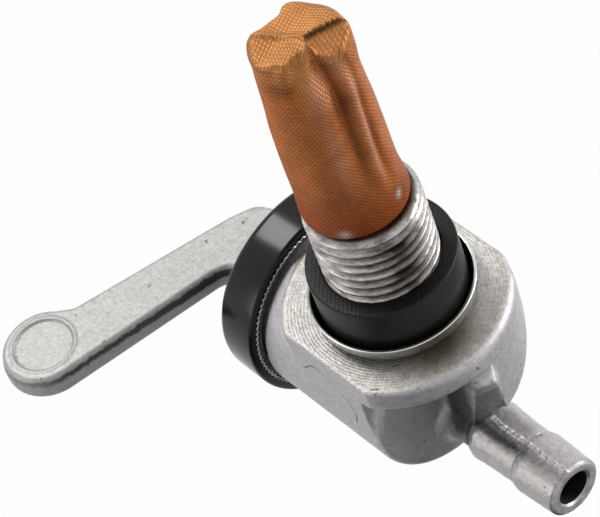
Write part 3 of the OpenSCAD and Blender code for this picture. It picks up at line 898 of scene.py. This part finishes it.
def sleeve_tone_and_light(p, n):
    """Golden at the fold and red-brown at the foot, with painted shade in the creases, a painted pinkish sheen on
    the ridges, painted highlights on the collar and a painted shadow along the flap edge.
    """
    low, mid, high = (0.29, 0.058, 0.008), (0.46, 0.145, 0.036), (0.50, 0.215, 0.072)
    t = smooth(p.z, 9, 20)
    colour = [a + (b - a) * t for a, b in zip(low, mid)]
    t = smooth(p.z, 31, 36)
    colour = [a + (b - a) * t for a, b in zip(colour, high)]
    turn = (math.atan2(p.y, p.x) - VIEW_AZ + math.pi) % TAU - math.pi
    wall = 1 - smooth(p.z, 34.0, 35.3)
    valley = 0.24 + 0.10 * smooth(p.z, 18, 34)
    # Painted shade in the creases of the wall.
    dark = 0.45 * smooth(p.z, 14, 22) * bell(turn, valley, 0.10)
    dark = max(dark, 0.40 * smooth(p.z, 15, 20) * bell(turn, valley + 0.50, 0.09))
    dark = max(dark, 0.50 * bell(p.z, 32.6, 0.9) * bell(turn, -0.80, 0.30))
    # Painted pinkish sheen on the ridge beside the crease and on the front wall under the flap.
    painted_sheen = max(smooth(p.z, 15, 21) * bell(turn, valley + 0.28, 0.10),
               bell(p.z, 31.5, 2.2) * bell(turn, -0.12, 0.25),
               0.7 * bell(p.z, 23, 5) * bell(turn, -0.15, 0.15)) * (1 - smooth(p.z, 33, 35))
    colour = [c + (k - c) * 0.42 * painted_sheen for c, k in zip(colour, (0.62, 0.36, 0.27))]
    # Painted highlights of the collar seen through the gauze.
    painted_highlight = max(bell(math.dist((turn * 5.9, p.z), (math.radians(at) * 5.9, z)), 0, size)
               for at, z, size in COLLAR_HIGHLIGHTS)
    colour = [c + (k - c) * painted_highlight for c, k in zip(colour, (0.56, 0.47, 0.44))]
    d = p.x * math.cos(VIEW_AZ) + p.y * math.sin(VIEW_AZ)
    u = p.y * math.cos(VIEW_AZ) - p.x * math.sin(VIEW_AZ)
    step = fold_step(d, u)
    # Painted shadow along the edge of the back flap.
    if p.z > 33.0 and math.hypot(d, u) < 5.0:
        shade = 0.85 * clamp(4 * step * (1 - step)) * (1 - smooth(d, 1.3, 2.1))
        colour = [c * (1 - shade) for c in colour]
    mottle = (1 + 0.22 * noise.noise(p * 0.35) + 0.14 * noise.noise(p * 1.1)) * (1 - dark * wall)
    return tuple(c * mottle for c in colour)


sleeve = make_sleeve()
paint(sleeve, "tone_and_light", sleeve_tone_and_light)
dress(sleeve, "gauze", "tap", ("filter_sleeve",))


# CAD pieces kept
for node, material in (("filter_collar", "steel"), ("valve_seal", "rubber"), ("wave_spring", "steel")):
    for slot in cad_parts[node].material_slots:
        slot.material = MAT[material]


# Stage and view
def stage_material(name, diffuse, seen):
    """Pale matte surface that the camera and reflections see nearly white."""
    n = Nodes(name)
    n.finish(Base_Color=(diffuse,) * 3, Roughness=1.0)
    path = n.add("ShaderNodeLightPath").outputs
    rays = n.math("ADD", path["Is Camera Ray"], path["Is Glossy Ray"], True)
    rays = n.math("ADD", rays, path["Is Transmission Ray"], True)
    glow = n.add("ShaderNodeEmission", Color=(1, 1, 1, 1), Strength=1.0).outputs[0]
    mix = n.add("ShaderNodeMixShader", Fac=n.math("MULTIPLY", rays, seen))
    n.tree.links.new(n.bsdf.outputs[0], mix.inputs[1])
    n.tree.links.new(glow, mix.inputs[2])
    out = n.tree.nodes["Material Output"]
    n.tree.links.new(mix.outputs[0], out.inputs["Surface"])
    return n.mat


floor = new_object("floor", [(-3000, -3000, -62), (3000, -3000, -62), (3000, 3000, -62),
                             (-3000, 3000, -62)], [(0, 1, 2, 3)], shade=False)
floor.data.materials.append(stage_material("floor_white", 0.15, 0.985))
# A black card beside the barb, seen only in reflections, gives the front faces their depth
card = new_object("black_card", [(12, -160, -58), (46, -160, -58), (46, 160, -58), (12, 160, -58)],
                  [(0, 1, 2, 3)], shade=False)
card.data.materials.append(MAT["dark"])
for kind in ("camera", "diffuse", "transmission", "shadow"):
    setattr(card, "visible_" + kind, False)

world = bpy.data.worlds.new("studio")
bpy.context.scene.world = world
world.use_nodes = True
wt = world.node_tree
background = wt.nodes["Background"]
path = wt.nodes.new("ShaderNodeLightPath")
seen = wt.nodes.new("ShaderNodeMath")
seen.operation = "MAXIMUM"
wt.links.new(path.outputs["Is Camera Ray"], seen.inputs[0])
wt.links.new(path.outputs["Is Glossy Ray"], seen.inputs[1])
white = wt.nodes.new("ShaderNodeMapRange")
white.inputs["To Min"].default_value = 0.09
white.inputs["To Max"].default_value = 1.0
wt.links.new(seen.outputs[0], white.inputs["Value"])
wt.links.new(white.outputs[0], background.inputs["Strength"])
background.inputs["Color"].default_value = (1, 1, 1, 1)


def area_light(name, place, aim, size, power):
    data = bpy.data.lights.new(name, "AREA")
    data.shape = "RECTANGLE"
    data.size, data.size_y = size[0] * MM, size[1] * MM
    data.energy = power
    obj = bpy.data.objects.new(name, data)
    bpy.context.scene.collection.objects.link(obj)
    at = Vector(place) * MM
    obj.matrix_world = Matrix.Translation(at) @ (at - Vector(aim) * MM).to_track_quat("Z", "Y").to_matrix().to_4x4()
    return obj


area_light("key", (-220, -20, 300), (0, 0, -5), (150, 150), 0.78)
area_light("right", (150, 290, 85), (0, 0, -10), (180, 180), 1.0)
area_light("left", (-100, -320, 60), (-10, -5, -15), (200, 140), 0.25)

RIGHT = Vector((0.6568515, 0.7129878, -0.2453456))
UP = Vector((-0.4754845, 0.6442025, 0.5990973))
BACK = Vector((0.5852012, -0.2768599, 0.7621602))
OFFSET = Vector((10.5575, -4.0625, -328.092))
eye = -(RIGHT * OFFSET.x + UP * OFFSET.y + BACK * OFFSET.z) - Vector((0, 0, 7.78))
camera_data = bpy.data.cameras.new("camera")
camera_data.sensor_width = 36
camera_data.lens = 180
camera_data.clip_start = 0.01
camera = bpy.data.objects.new("camera", camera_data)
bpy.context.scene.collection.objects.link(camera)
turn = Matrix((RIGHT, UP, BACK)).transposed().to_4x4()
camera.matrix_world = Matrix.Translation(eye * MM) @ turn
bpy.context.scene.camera = camera

bpy.context.scene.view_settings.view_transform = "Standard"
